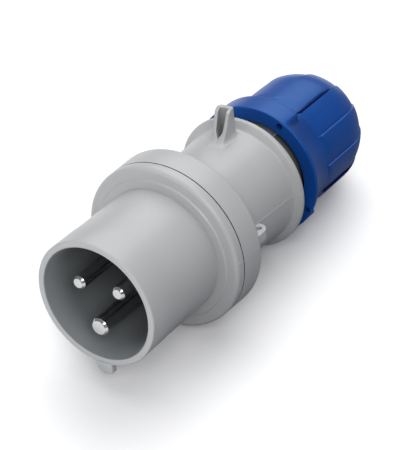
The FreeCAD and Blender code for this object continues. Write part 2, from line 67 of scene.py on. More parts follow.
# places that several pieces share, in millimetres from the rim or from the axis
parting, rearStart = 50.5, 50.85
bodyStart, bodyEnd = 71.05, 101.45
bodyFrontRadius, bodyRearRadius = 25.3, 27.0
collarEnd = 107.25
neckRadius, neckBore, neckEnd = 21.9, 20.3, 133.85
nutFront, nutEnd = 117.3, 174.9
sealInner, sealOuter, sealDepth = 33.45, 35.35, 0.8
flangeRadius, partingEdge = 36.8, 0.12


def fromHex(text):
    # sRGB hex to linear colour
    parts = [int(text[i:i + 2], 16) / 255 for i in (1, 3, 5)]
    return tuple(p / 12.92 if p <= 0.04045 else ((p + 0.055) / 1.055) ** 2.4 for p in parts) + (1.0,)


def addNode(tree, kind, settings=None, links=None):
    # one node: settings by property or input name, links from other nodes' outputs
    node = tree.nodes.new(kind)
    for key, value in (settings or {}).items():
        if isinstance(key, str) and key not in node.inputs and hasattr(node, key):
            setattr(node, key, value)
        else:
            node.inputs[key].default_value = value
    for key, source in (links or {}).items():
        tree.links.new(source, node.inputs[key])
    return node


def calc(operation, *values):
    # a Math node on sockets and numbers, in the sockets' own tree
    tree = next(value.id_data for value in values if not isinstance(value, (int, float)))
    node = tree.nodes.new("ShaderNodeMath")
    node.operation = operation
    for place, value in enumerate(values):
        if isinstance(value, (int, float)):
            node.inputs[place].default_value = value
        else:
            tree.links.new(value, node.inputs[place])
    return node.outputs[0]


def named(tree, name):
    # a number stored on the mesh
    node = addNode(tree, "GeometryNodeInputNamedAttribute", {"data_type": "FLOAT", "Name": name})
    return node.outputs["Attribute"]


def softStep(tree, value, first=0.0, last=1.0):
    # 0 at the first number and 1 at the last, with soft ends
    settings = {"interpolation_type": "SMOOTHSTEP", "From Min": first, "From Max": last}
    return addNode(tree, "ShaderNodeMapRange", settings, {"Value": value}).outputs["Result"]


# Materials

def startMaterial(name, settings):
    material = bpy.data.materials.new(name)
    material.use_nodes = True
    tree = material.node_tree
    tree.nodes.clear()
    output = addNode(tree, "ShaderNodeOutputMaterial")
    shader = addNode(tree, "ShaderNodeBsdfPrincipled", settings)
    tree.links.new(shader.outputs[0], output.inputs["Surface"])
    spot = addNode(tree, "ShaderNodeTexCoord").outputs["Object"]
    return material, tree, shader, spot


def cloudy(tree, spot, perMetre, detail):
    cloud = addNode(tree, "ShaderNodeTexNoise", {"Scale": perMetre, "Detail": detail}, {"Vector": spot})
    return cloud.outputs["Fac"]


def varyColour(tree, shader, spot, look, perMetre, detail=2.0):
    # slow change between two near colours, as pigment and handling give it
    ramp = addNode(tree, "ShaderNodeValToRGB", links={"Fac": cloudy(tree, spot, perMetre, detail)})
    for element, position, colour in zip(ramp.color_ramp.elements, (0.3, 0.7), (look["dark"], look["light"])):
        element.position = position
        element.color = fromHex(colour)
    tree.links.new(ramp.outputs["Color"], shader.inputs["Base Color"])


def varyRoughness(tree, shader, spot, look, less, more, perMetre):
    settings = {"To Min": look["roughness"] - less, "To Max": look["roughness"] + more}
    span = addNode(tree, "ShaderNodeMapRange", settings, {"Value": cloudy(tree, spot, perMetre, 3.0)})
    tree.links.new(span.outputs["Result"], shader.inputs["Roughness"])


def grain(tree, shader, height, strength, millimetres):
    # bump from a height socket, its depth in real millimetres
    settings = {"Strength": strength, "Distance": millimetres * 0.001}
    bump = addNode(tree, "ShaderNodeBump", settings, {"Height": height})
    tree.links.new(bump.outputs["Normal"], shader.inputs["Normal"])


def shadeCreases(tree, shader, look):
    # painted shade: where a piece's own "crease" number is high, its colour is darkened and its sheen
    #     # dimmed, standing in for the shade in the slots, gaps and corners that little light reaches
    mark = addNode(tree, "ShaderNodeAttribute", {"attribute_name": "crease"}).outputs["Fac"]
    amount = calc("MINIMUM", calc("MULTIPLY", mark, look["crease"]), 1.0)
    shade = addNode(tree, "ShaderNodeMix", {
        "data_type": "RGBA", "blend_type": "MULTIPLY", 7: fromHex(look["creaseColour"])}, {"Factor": amount})
    sheen = calc("MULTIPLY", calc("SUBTRACT", 1.0, amount), look["specular"])
    tree.links.new(sheen, shader.inputs["Specular IOR Level"])
    tree.links.new(shader.inputs["Base Color"].links[0].from_socket, shade.inputs[6])
    tree.links.new(shade.outputs[2], shader.inputs["Base Color"])


def mouldedPlastic(name, look):
    # polyamide from an eroded mould: an even colour, a satin sheen and a very fine grain
    material, tree, shader, spot = startMaterial(name, {
        "IOR": 1.53, "Specular IOR Level": look["specular"],
        "Specular Tint": fromHex(look.get("sheen", "#FFFFFF"))})
    varyColour(tree, shader, spot, look, 28.0)
    if "crease" in look:
        shadeCreases(tree, shader, look)
    varyRoughness(tree, shader, spot, look, 0.03, 0.03, 140.0)
    perMetre, strength, depth = look["grain"]
    grain(tree, shader, cloudy(tree, spot, perMetre, 2.0), strength, depth)
    return material


def turnedNickel(name, look):
    # nickel plate over turned brass: bright and slightly warm, with the tool's rings round
    # the shaft and across the tip. The rings read two numbers of each pin's mesh: how far
    # out and how far along its own axis it lies
    material, tree, shader, spot = startMaterial(name, {"Metallic": 1.0})
    varyColour(tree, shader, spot, look, 60.0)
    varyRoughness(tree, shader, spot, look, 0.03, 0.04, 300.0)
    out, along = (addNode(tree, "ShaderNodeAttribute", {"attribute_name": label}).outputs["Fac"]
                  for label in ("pinOut", "pinAlong"))
    perMetre, depth = look["rings"]
    place = addNode(tree, "ShaderNodeCombineXYZ", links={
        "X": calc("MULTIPLY", out, perMetre), "Y": calc("MULTIPLY", along, perMetre)})
    grain(tree, shader, cloudy(tree, place.outputs[0], 1.0, 2.0), 0.5, depth)
    return material


def platedSteel(name, look):
    # zinc-plated steel: a cloudy grey metal, duller than nickel
    material, tree, shader, spot = startMaterial(name, {"Metallic": 1.0})
    varyColour(tree, shader, spot, look, 400.0, 4.0)
    varyRoughness(tree, shader, spot, look, 0.0, 0.15, 600.0)
    return material


def softRubber(name, look):
    # filled rubber: almost no sheen, with a powdery bloom in patches
    material, tree, shader, spot = startMaterial(name, {"Specular IOR Level": 0.25})
    varyColour(tree, shader, spot, look, 120.0, 4.0)
    varyRoughness(tree, shader, spot, look, 0.06, 0.06, 500.0)
    grain(tree, shader, cloudy(tree, spot, 2500.0, 3.0), 0.4, 0.03)
    return material


# grain and rings: how many a metre, strength (of the grain) and depth in millimetres
finishes = {
    "housing_grey": mouldedPlastic("mouldedPolyamideGrey", {
        "dark": "#A9AAAB", "light": "#AEAFAF", "specular": 0.5, "roughness": 0.36,
        "crease": 0.75, "creaseColour": "#1A1A1C", "grain": (2600.0, 0.22, 0.02)}),
    "carrier_grey": mouldedPlastic("mouldedThermosetDark", {
        "dark": "#85898B", "light": "#8C9092", "specular": 0.4, "roughness": 0.42,
        "crease": 0.42, "creaseColour": "#282C2E", "grain": (2200.0, 0.25, 0.02)}),
    "nut_blue": mouldedPlastic("mouldedPolyamideBlue", {
        "dark": "#0B3E8A", "light": "#0E4593", "specular": 0.62, "roughness": 0.34, "sheen": "#7CC2FF",
        "crease": 0.5, "creaseColour": "#1C3C70", "grain": (1500.0, 0.35, 0.05)}),
    "collet_plastic": mouldedPlastic("naturalPolyamide", {
        "dark": "#D2CFC2", "light": "#DAD8CC", "specular": 0.45, "roughness": 0.4,
        "grain": (2200.0, 0.15, 0.02)}),
    "pin_metal": turnedNickel("turnedNickel", {
        "dark": "#BFC0C0", "light": "#CBCBCA", "roughness": 0.15, "rings": (7000.0, 0.012)}),
    "screw_steel": platedSteel("zincPlatedSteel", {"dark": "#A9ABAC", "light": "#C9CACA", "roughness": 0.3}),
    "seal_rubber": softRubber("blackRubber", {"dark": "#1C1D1E", "light": "#262728", "roughness": 0.7}),
}
slots = {part["node"]: part["material_slot"] for part in frame["record"]["subparts"]}
for node, obj in frame["nodes"].items():
    for place in obj.material_slots:
        place.material = finishes[slots[node]]
print("materials", len(finishes), "on", len(frame["nodes"]), "nodes")


# Shared tools for shapes

def smooth(value):
    value = min(max(value, 0.0), 1.0)
    return value * value * (3.0 - 2.0 * value)


def rounded(corners, steps=6):
    # a closed line of (along, out, rounding) corners as points, each rounding an arc
    points = []
    for place, corner in enumerate(corners):
        here = Vector(corner[:2])
        if len(corner) < 3 or corner[2] <= 0:
            points.append(tuple(here))
            continue
        before = (Vector(corners[place - 1][:2]) - here).normalized()
        after = (Vector(corners[(place + 1) % len(corners)][:2]) - here).normalized()
        half = before.angle(after) / 2
        run = corner[2] / tan(half)
        middle = here + (before + after).normalized() * (corner[2] / sin(half))
        start, end = here + before * run, here + after * run
        first = atan2(start.y - middle.y, start.x - middle.x)
        turn = (atan2(end.y - middle.y, end.x - middle.x) - first + pi) % (2 * pi) - pi
        for step in range(steps + 1):
            angle = first + turn * step / steps
            points.append((middle.x + corner[2] * cos(angle), middle.y + corner[2] * sin(angle)))
    return points


def circlePoints(radius, sides, first=0.0, second=0.0):
    angles = [tau * i / sides for i in range(sides)]
    return [(first + radius * cos(angle), second + radius * sin(angle)) for angle in angles]


def sceneObject(name, data):
    obj = bpy.data.objects.new(name, data)
    scene.collection.objects.link(obj)
    return obj


def meshObject(name, verts, faces, edges=()):
    mesh = bpy.data.meshes.new(name)
    mesh.from_pydata([tuple(v) for v in verts], list(edges), faces)
    return sceneObject(name, mesh)


def sideFaces(count, rows):
    # the faces between closed rings of as many points each
    return [(row * count + i, row * count + (i + 1) % count,
             (row + 1) * count + (i + 1) % count, (row + 1) * count + i)
            for row in range(rows - 1) for i in range(count)]


def asMesh(obj):
    # what the object's modifiers or curve make, as a plain mesh
    bpy.context.view_layer.update()
    graph = bpy.context.evaluated_depsgraph_get()
    return bpy.data.meshes.new_from_object(obj.evaluated_get(graph), depsgraph=graph)


def settle(obj):
    # the object with its modifiers made into a plain mesh, its faces turned outwards
    mesh = asMesh(obj)
    obj.modifiers.clear()
    obj.data = mesh
    bm = bmesh.new()
    bm.from_mesh(mesh)
    bmesh.ops.remove_doubles(bm, verts=bm.verts, dist=1e-5)
    loose = [edge for edge in bm.edges if not edge.link_faces]
    bmesh.ops.delete(bm, geom=loose, context="EDGES")
    bmesh.ops.recalc_face_normals(bm, faces=bm.faces)
    if bm.calc_volume(signed=True) < 0:
        bmesh.ops.reverse_faces(bm, faces=bm.faces)
    bm.to_mesh(mesh)
    bm.free()
    return obj


def smoothBelow(obj, limit):
    # smooth shading, with an edge kept sharp where the faces turn by more than this
    bm = bmesh.new()
    bm.from_mesh(obj.data)
    sharp = radians(limit)
    for face in bm.faces:
        face.smooth = True
    for edge in bm.edges:
        edge.smooth = not (edge.is_manifold and edge.calc_face_angle(0.0) > sharp)
    bm.to_mesh(obj.data)
    bm.free()


def joined(name, pieces):
    # several settled objects as one mesh of separate closed shells
    bm = bmesh.new()
    for piece in pieces:
        bm.from_mesh(piece.data)
        bpy.data.objects.remove(piece)
    mesh = bpy.data.meshes.new(name)
    bm.to_mesh(mesh)
    bm.free()
    return sceneObject(name, mesh)


def storeNumbers(obj, label, numbers):
    # a number for each point of a piece, which a material or a tree reads
    obj.data.attributes.new(label, "FLOAT", "POINT").data.foreach_set("value", numbers)


def storeAt(obj, label, numberAt):
    storeNumbers(obj, label, [numberAt(vert.co) for vert in obj.data.vertices])


def gapShade(spot, face):
    # painted shade darkens the gap between the two shells
    return 1.3 if abs(spot.y - face) < 0.06 and hypot(spot.x, spot.z) > 34.0 else 0.0


def finishPiece(obj, slot, body, stands, smoothing=32.0):
    obj.data.transform(layDown)
    smoothBelow(obj, smoothing)
    obj.data.materials.clear()
    obj.data.materials.append(finishes[slot])
    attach(obj, body)
    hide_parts(*stands)
    print(obj.name, len(obj.data.polygons), "faces")


def useTree(obj, tree, values):
    # the tree as a modifier, its named inputs set by identifier before it is evaluated
    modifier = obj.modifiers.new(tree.name, "NODES")
    modifier.node_group = tree
    for item in tree.interface.items_tree:
        if item.in_out == "INPUT" and item.name in values:
            modifier[item.identifier] = values[item.name]
    return obj


def newTree(name, inputs):
    tree = bpy.data.node_groups.new(name, "GeometryNodeTree")
    tree.interface.new_socket("Geometry", in_out="INPUT", socket_type="NodeSocketGeometry")
    for label, (kind, value) in inputs.items():
        tree.interface.new_socket(label, in_out="INPUT", socket_type=kind).default_value = value
    tree.interface.new_socket("Geometry", in_out="OUTPUT", socket_type="NodeSocketGeometry")
    return tree, addNode(tree, "NodeGroupInput")


def closeTree(tree, geometry, material):
    real = addNode(tree, "GeometryNodeRealizeInstances", links={"Geometry": geometry})
    dressed = addNode(tree, "GeometryNodeSetMaterial", {"Material": material}, {"Geometry": real.outputs[0]})
    addNode(tree, "NodeGroupOutput", links={"Geometry": dressed.outputs[0]})
    return tree


def turningTree(name, material, rule=None):
    # turns a closed profile round the plug's axis. The rule, if there is one, gives each
    # point a new distance from the axis out of its place, clock angle and stored numbers
    tree, given = newTree(name, {"Columns": ("NodeSocketInt", 360)})
    profile = addNode(tree, "GeometryNodeMeshToCurve", links={"Mesh": given.outputs["Geometry"]})
    circle = addNode(tree, "GeometryNodeCurvePrimitiveCircle", links={"Resolution": given.outputs["Columns"]})
    index = addNode(tree, "GeometryNodeInputIndex").outputs[0]
    angle = calc("DIVIDE", calc("MULTIPLY", index, 360.0), given.outputs["Columns"])
    settings = {"data_type": "FLOAT", "domain": "POINT", "Name": "clock"}
    marked = addNode(tree, "GeometryNodeStoreNamedAttribute", settings, {
        "Geometry": circle.outputs[0], "Value": angle})
    swept = addNode(tree, "GeometryNodeCurveToMesh", links={
        "Curve": marked.outputs[0], "Profile Curve": profile.outputs[0]})
    along, out, clock = (named(tree, label) for label in ("along", "out", "clock"))
    if rule:
        out = rule(tree, along, out, clock)
    turn = calc("RADIANS", clock)
    place = addNode(tree, "ShaderNodeCombineXYZ", links={
        "X": calc("MULTIPLY", out, calc("SINE", turn)),
        "Y": along,
        "Z": calc("MULTIPLY", out, calc("COSINE", turn))})
    moved = addNode(tree, "GeometryNodeSetPosition", links={
        "Geometry": swept.outputs[0], "Position": place.outputs[0]})
    return closeTree(tree, moved.outputs[0], material)


def turnedPiece(name, rows, tree, columns, extras=()):
    # a closed line with its places and extra numbers on its points, turned by the tree
    count = len(rows)
    edges = [(i, (i + 1) % count) for i in range(count)]
    obj = meshObject(name, [(0, row[0], row[1]) for row in rows], [], edges)
    labels = ("along", "out") + tuple(extras)
    for column, label in enumerate(labels):
        storeNumbers(obj, label, [row[column] for row in rows])
    settle(useTree(obj, tree, {"Columns": columns}))
    for label in labels + ("clock",):
        if label in obj.data.attributes:
            obj.data.attributes.remove(obj.data.attributes[label])
    return obj


def repeatTree(name, material):
    # copies of the given form, turned about the plug's axis by equal steps
    tree, given = newTree(name, {
        "Count": ("NodeSocketInt", 3), "First": ("NodeSocketFloat", 0.0), "Step": ("NodeSocketFloat", 120.0)})
    points = addNode(tree, "GeometryNodeMeshLine", {"Offset": (0, 0, 0)}, {"Count": given.outputs["Count"]})
    index = addNode(tree, "GeometryNodeInputIndex").outputs[0]
    angle = calc("MULTIPLY_ADD", index, given.outputs["Step"], given.outputs["First"])
    turn = addNode(tree, "ShaderNodeCombineXYZ", links={"Y": calc("RADIANS", angle)})
    copies = addNode(tree, "GeometryNodeInstanceOnPoints", links={
        "Points": points.outputs[0], "Instance": given.outputs["Geometry"], "Rotation": turn.outputs[0]})
    return closeTree(tree, copies.outputs[0], material)


def sidesAway(clock, middle):
    # degrees between a clock angle and the nearer of a middle and its opposite
    return calc("ABSOLUTE", calc("WRAP", calc("SUBTRACT", clock, middle), 90.0, -90.0))


def seamRule(seam):
    # a raised hairline where the mould's halves met, on the profile's marked rows
    def rule(tree, along, out, clock):
        share = calc("DIVIDE", sidesAway(clock, seam["clock"]), seam["halfWidth"])
        near = calc("MAXIMUM", calc("SUBTRACT", 1.0, share), 0.0)
        height = calc("MULTIPLY", calc("MULTIPLY", near, seam["height"]), named(tree, "seam"))
        return calc("ADD", out, height)
    return rule


def onSeam(along, out, seams):
    # 1 for a profile's row on the seam: between two places, and further out than a limit
    return float(any(first < along < last and out > limit for first, last, limit in seams))


def prism(name, points, low, high, bevel, toPlace):
    # a straight block over an outline, its edges broken where a bevel is given
    count = len(points)
    verts = [toPlace(a, b, low) for a, b in points] + [toPlace(a, b, high) for a, b in points]
    faces = [tuple(range(count))[::-1], tuple(range(count, 2 * count))] + sideFaces(count, 2)
    obj = meshObject(name, verts, faces)
    if bevel:
        edges = obj.modifiers.new("edges", "BEVEL")
        edges.width, edges.segments, edges.limit_method = bevel, 3, "ANGLE"
        edges.angle_limit = radians(50)
    return settle(obj)


def rod(name, front, back, radius, circle, clock, sides=48):
    # a round bar along the plug's axis, at a clock angle on a circle round it
    angle = radians(clock)
    ring = circlePoints(radius, sides, circle * sin(angle), circle * cos(angle))
    return prism(name, ring, front, back, 0, lambda a, b, place: (a, place, b))


def drilled(obj, cutters):
    cutter = joined("cutters", cutters)
    drill = obj.modifiers.new("drilled", "BOOLEAN")
    drill.operation, drill.object, drill.solver = "DIFFERENCE", cutter, "EXACT"
    settle(obj)
    bpy.data.objects.remove(cutter)
    return obj


# Front shell: shroud, key, half of the flange, spigot and lugs

seam = {"clock": 88.5, "halfWidth": 0.8, "height": 0.16}
shroud = {
    "columns": 480, "radius": 28.0, "bore": 25.3, "rimInside": 0.3, "rimOutside": 0.6,
    "bandEnd": 14.0, "bandStep": 0.2, "bandShade": 0.6, "bandShadeHalf": 0.12,
    "ringFront": 45.1, "ringRadius": 31.3, "grooveRun": 0.7, "grooveDepth": 0.5,
    "flangeFace": 45.9, "flangeRounding": 1.9, "seams": [(46.0, 50.4, 35.0)],
    "spigotRadius": 31.6, "spigotBore": 29.0, "spigotEnd": 60.0,
    "snapFront": 52.4, "snapBack": 53.8, "snapDepth": 0.9,
}
keyForm = {
    "foot": 26.65, "halfWidth": 3.8, "reach": 32.5, "length": 3.0, "curve": 3.4, "corner": 1.6, "edge": 0.45,
}
lugForm = {
    "front": 56.6, "back": 59.6, "foot": 30.3, "reach": 32.9, "sweep": 18.0, "steps": 8,
    "count": 3, "first": 30.0, "step": 120.0,
}


def frontProfile(form):
    radius, band, ring, face = (form[key] for key in ("radius", "bandEnd", "ringFront", "flangeFace"))
    spigot, end, bore = form["spigotRadius"], form["spigotEnd"], form["spigotBore"]
    step, snap = radius - form["bandStep"], bore + form["snapDepth"]
    return rounded([
        (0, form["bore"], form["rimInside"]), (0, radius, form["rimOutside"]),
        (band, radius, 0.08), (band + form["bandStep"], step, 0.2),
        (ring - form["grooveRun"], step, 0.6), (ring + 0.1, step - form["grooveDepth"], 0.2),
        (ring, form["ringRadius"], 0.35), (face, form["ringRadius"] + 0.5, 0.3),
        (face, flangeRadius, form["flangeRounding"]), (parting, flangeRadius, partingEdge),
        (parting, sealOuter), (parting - sealDepth, sealOuter),
        (parting - sealDepth, sealInner), (parting, sealInner),
        (parting, spigot, 0.2), (end, spigot, 0.35), (end, bore, 0.2),
        (form["snapBack"], bore), (form["snapBack"], snap),
        (form["snapFront"], snap), (form["snapFront"], bore), (face, bore), (face, form["bore"])])


def shroudShade(spot):
    # painted shade: a thin dark line at the foot of the band's step, and the gap behind the flange
    away = abs(spot.y - shroud["bandEnd"] - shroud["bandStep"] / 2)
    line = 1.0 - min(away / shroud["bandShadeHalf"], 1.0)
    return shroud["bandShade"] * line + gapShade(spot, parting)


def keyBlock(form):
    half, foot, reach = form["halfWidth"], -form["foot"], -form["reach"]
    outline = rounded([
        (-half, foot), (-half, reach, form["curve"]), (half, reach, form["corner"]), (half, foot)], 8)
    return prism("shroudKey", outline, 0.0, form["length"], form["edge"], lambda a, b, place: (a, place, b))


def lugBlock(form):
    corners = [(form["front"], form["foot"]), (form["front"], form["reach"]),
               (form["back"], form["reach"]), (form["back"], form["foot"])]
    verts = []
    for turn in range(form["steps"] + 1):
        angle = radians(form["sweep"] * (turn / form["steps"] - 0.5))
        verts += [(out * sin(angle), along, out * cos(angle)) for along, out in corners]
    last = form["steps"] * 4
    faces = sideFaces(4, form["steps"] + 1) + [(0, 1, 2, 3), (last + 3, last + 2, last + 1, last)]
    return meshObject("lugs", verts, faces)


turnGrey = turningTree("turnedShell", finishes["housing_grey"], seamRule(seam))
repeatGrey = repeatTree("repeatedForm", finishes["housing_grey"])
frontRows = [(along, out, onSeam(along, out, shroud["seams"])) for along, out in frontProfile(shroud)]
frontShell = turnedPiece("frontTurning", frontRows, turnGrey, shroud["columns"], ("seam",))
storeAt(frontShell, "crease", shroudShade)
lugValues = {"Count": lugForm["count"], "First": lugForm["first"], "Step": lugForm["step"]}
lugs = settle(useTree(lugBlock(lugForm), repeatGrey, lugValues))
shroudShell = joined("shroudShell", [frontShell, keyBlock(keyForm), lugs])
finishPiece(shroudShell, "housing_grey", "housing", ["front_housing"])


# Pin carrier with its liner, and the turned pins

carrier = {
    "columns": 240, "front": 0.35, "lip": 25.08, "outer": 25.2, "inner": 24.0, "face": 43.0, "seat": 45.9,
    "back": 49.9, "radius": 28.9, "floorCurve": 1.0, "pinCircle": 11.05, "collarSeat": 47.1,
    "screwCircle": 23.0, "screwClock": 22.0, "screwHole": 1.45, "screwFront": 44.4,
    "shadeFront": 0.5, "shadeDepth": 15.0,
    # the liner's mouth flares out to the shroud's bore, so that no step shows at the rim
    "mouth": [(2.5, 24.85), (4.0, 24.7), (6.0, 24.5), (8.5, 24.32), (11.0, 24.18), (14.0, 24.07)],
    "wallRows": [17.0, 21.0],
}
pin = {
    "columns": 96, "chamfer": 0.95, "edge": 0.16, "rootStep": 0.35, "collarStep": 2.0, "headStep": 1.5,
    "headEnd": 66.9, "boreWall": 2.0, "boreDepth": 12.5,
    "screwHole": 1.55, "screwPitch": 5.6, "screwInset": 3.2, "flatHalf": 3.1, "flatDrop": 0.65,
    # name, clock angle, radius and place of the tip
    "each": [("phase_pin", -60.0, 3.0, 2.8), ("neutral_pin", 60.0, 3.0, 2.8), ("earth_pin", 180.0, 4.0, 0.1)],
}


def carrierShell(form):
    mouth = [(form["front"], form["outer"]), (form["front"], form["lip"])] + form["mouth"]
    mouth += [(along, form["inner"]) for along in form["wallRows"]]
    rest = rounded([
        (30.0, form["inner"]), (form["face"], form["inner"], form["floorCurve"]), (form["face"], 0.0),
        (form["back"], 0.0), (form["back"], form["radius"], 0.3), (form["seat"], form["radius"], 0.3),
        (form["seat"], form["outer"])])
    tree = turningTree("turnedCarrier", finishes["carrier_grey"])
    shell = turnedPiece("carrierShell", mouth + rest, tree, form["columns"])
    circle, seat, behind = form["pinCircle"], form["collarSeat"], form["back"] + 1
    for node, clock, radius, tip in pin["each"]:
        root, collar = radius + pin["rootStep"] + 0.05, radius + pin["collarStep"] + 0.1
        drilled(shell, [rod("pinHole", form["face"] - 1, seat + 0.5, root, circle, clock)])
        drilled(shell, [rod("collarHole", seat, behind, collar, circle, clock)])
    front, hole, circle = form["screwFront"], form["screwHole"], form["screwCircle"]
    for step in range(3):
        drilled(shell, [rod("screwHole", front, behind, hole, circle, form["screwClock"] + 120.0 * step)])
    # painted shade: the carrier grows darker the deeper it lies behind the rim, where less light reaches
    storeAt(shell, "crease", lambda spot: smooth((spot.y - form["shadeFront"]) / form["shadeDepth"]))
    return shell


def turnedPin(form, name, radius, tip):
    head = radius + form["headStep"]
    bore, root, collar = head - form["boreWall"], radius + form["rootStep"], radius + form["collarStep"]
    face, seat, back = carrier["face"], carrier["collarSeat"], carrier["back"]
    chamfer, edge = form["chamfer"], form["edge"]
    end, floor = form["headEnd"], form["headEnd"] - form["boreDepth"]
    rows = rounded([
        (tip, 0.0), (tip, radius - chamfer, edge), (tip + chamfer, radius, edge),
        (face, radius, 0.1), (face, root, 0.08), (seat, root), (seat, collar, 0.2), (back, collar, 0.2),
        (back, head), (end, head, 0.4), (end, bore, 0.2), (floor, bore), (floor, 0.0)], 4)
    obj = turnedPiece(name, rows, turningTree("turned" + name, finishes["pin_metal"]), form["columns"])
    half, low = form["flatHalf"], head - form["flatDrop"]
    for row in range(2):
        place = end - form["screwInset"] - form["screwPitch"] * row
        square = [(-half, place - half), (half, place - half), (half, place + half), (-half, place + half)]
        for label, outline, start in (("screwHole", circlePoints(form["screwHole"], 32, 0.0, place), 0.0),
                                      ("screwFlat", square, low)):
            drilled(obj, [prism(label, outline, start, head + 1, 0, lambda a, b, height: (a, b, height))])
    storeAt(obj, "pinOut", lambda spot: hypot(spot.x, spot.z) * 0.001)
    storeAt(obj, "pinAlong", lambda spot: spot.y * 0.001)
    return obj


finishPiece(carrierShell(carrier), "carrier_grey", "housing", ["pin_carrier"])
for node, clock, radius, tip in pin["each"]:
    shaft = turnedPin(pin, node.replace("_pin", "Pin"), radius, tip)
    turn = Matrix.Rotation(radians(clock), 4, "Y")
    shaft.data.transform(turn @ Matrix.Translation((0, 0, carrier["pinCircle"])))
    finishPiece(shaft, "pin_metal", "housing", [node], 24.0)


# Rear shell: half of the flange, handle, hook, ear, collar and threaded neck

handle = {
    "columns": 480, "flangeEnd": 63.25, "flangeRounding": 1.6, "flare": 0.3,
    "shoulderStart": 64.05, "shoulderRadius": 32.0, "shoulderRounding": 1.8, "shoulderHollow": 4.2,
    "collarFoot": 103.35, "collarFootRadius": 27.475, "collarStart": 105.25, "collarRadius": 30.6,
    "threadFront": 120.85, "threadRoot": 22.5, "threadPitch": 3.0, "threadDepth": 0.95, "threadChamfer": 1.2,
    "threadLead": 0.75, "rowStep": 0.25,
    "socketRadius": 32.0, "lugGroove": 33.2, "lugGrooveFront": 56.3, "lugGrooveBack": 59.9,
    # the corners of the hollow, from the neck to the socket
    "hollow": [(103.6, neckBore), (99.3, 24.6), (69.45, 22.9), (60.4, 30.4), (60.4, 32.0)],
    # the seam runs along the flange, and from the shoulder to the collar
    "seams": [(51.15, 63.0, 36.0), (72.0, 106.6, 25.2)],
    "neckShade": 0.25, "nutShade": 1.1, "nutShadeStart": 1.6, "nutShadeRun": 2.4,
}


def rearProfile(form):
    # rows of (along, out, how far the thread counts)
    hidden, collar = bodyEnd + 4, form["collarRadius"]
    outside = rounded([
        (hidden, 26.0), (rearStart, sealOuter), (rearStart, flangeRadius, partingEdge),
        (form["flangeEnd"], flangeRadius + form["flare"], form["flangeRounding"]),
        (form["shoulderStart"], form["shoulderRadius"], form["shoulderRounding"]),
        (bodyStart, bodyFrontRadius, form["shoulderHollow"]), (bodyEnd, bodyRearRadius, 1.9),
        (form["collarFoot"], form["collarFootRadius"], 1.1), (form["collarStart"], collar, 1.5),
        (collarEnd, collar, 0.6), (collarEnd, neckRadius, 0.5), (hidden, neckRadius)], 8)[1:-1]
    rows = [(along, out, 0.0) for along, out in outside]
    root, place, last = form["threadRoot"], form["threadFront"], neckEnd - form["threadChamfer"]
    while place < last:
        behind = place - form["threadFront"]
        lead = (root - neckRadius) * min(1.0, behind / form["threadLead"])
        rows.append((place, neckRadius + lead, min(1.0, behind, last - place)))
        place += form["rowStep"]
    socket, groove = form["socketRadius"], form["lugGroove"]
    front, back = form["lugGrooveFront"], form["lugGrooveBack"]
    inside = [
        (last, root), (neckEnd, root - form["threadChamfer"] * 0.6), (neckEnd, neckBore + 0.3),
        (neckEnd - 0.3, neckBore)] + form["hollow"] + [
        (back, socket), (back, groove), (front, groove), (front, socket), (rearStart, socket),
        (rearStart, sealInner), (rearStart + sealDepth, sealInner), (rearStart + sealDepth, sealOuter)]
    return rows + [(along, out, 0.0) for along, out in inside]


def neckRule(form):
    # the thread of the neck: a ridge that climbs by one pitch in each turn
    seamHeight = seamRule(seam)

    def rule(tree, along, out, clock):
        out = seamHeight(tree, along, out, clock)
        climb = calc("DIVIDE", clock, 360.0)
        turns = calc("SUBTRACT", calc("DIVIDE", along, form["threadPitch"]), climb)
        wave = calc("MULTIPLY", calc("PINGPONG", turns, 0.5), 2.0)
        crest = calc("MULTIPLY", calc("SMOOTH_MIN", wave, 0.8, 0.2), form["threadDepth"])
        return calc("ADD", out, calc("MULTIPLY", crest, named(tree, "thread")))
    return rule


def handleShade(spot):
    # painted shade: the neck is darkened where it lies in the shade of the collar, and near black where it goes
    # into the nut
    neck = handle["neckShade"] * smooth(spot.y - collarEnd)
    deep = handle["nutShade"] * smooth((spot.y - nutFront + handle["nutShadeStart"]) / handle["nutShadeRun"])
    return neck + deep + gapShade(spot, rearStart)


turnRear = turningTree("turnedHandle", finishes["housing_grey"], neckRule(handle))
rearRows = [(along, out, thread, onSeam(along, out, handle["seams"]))
            for along, out, thread in rearProfile(handle)]
rearShell = turnedPiece("rearTurning", rearRows, turnRear, handle["columns"], ("thread", "seam"))
storeAt(rearShell, "crease", handleShade)

# the fine teeth of the neck, two runs of them on opposite sides
tooth = {"front": 111.75, "length": 8.5, "height": 0.4, "pitch": 1.6, "count": 30, "foot": 21.6, "clock": 6.0}


def toothForm(form):
    half = radians(form["pitch"] / 2)
    tip = neckRadius + form["height"]
    ring = [(-half, form["foot"]), (-half, neckRadius), (-half * 0.2, tip), (half * 0.2, tip),
            (half, neckRadius), (half, form["foot"])]
    verts = [(out * sin(angle), along, out * cos(angle))
             for along in (form["front"], form["front"] + form["length"]) for angle, out in ring]
    count = len(ring)
    return meshObject("tooth", verts, sideFaces(count, 2) + [
        tuple(range(count))[::-1], tuple(range(count, 2 * count))])


def toothRun(form, middle):
    first = middle - (form["count"] - 1) * form["pitch"] / 2
    values = {"Count": form["count"], "First": first, "Step": form["pitch"]}
    return settle(useTree(toothForm(form), repeatGrey, values))


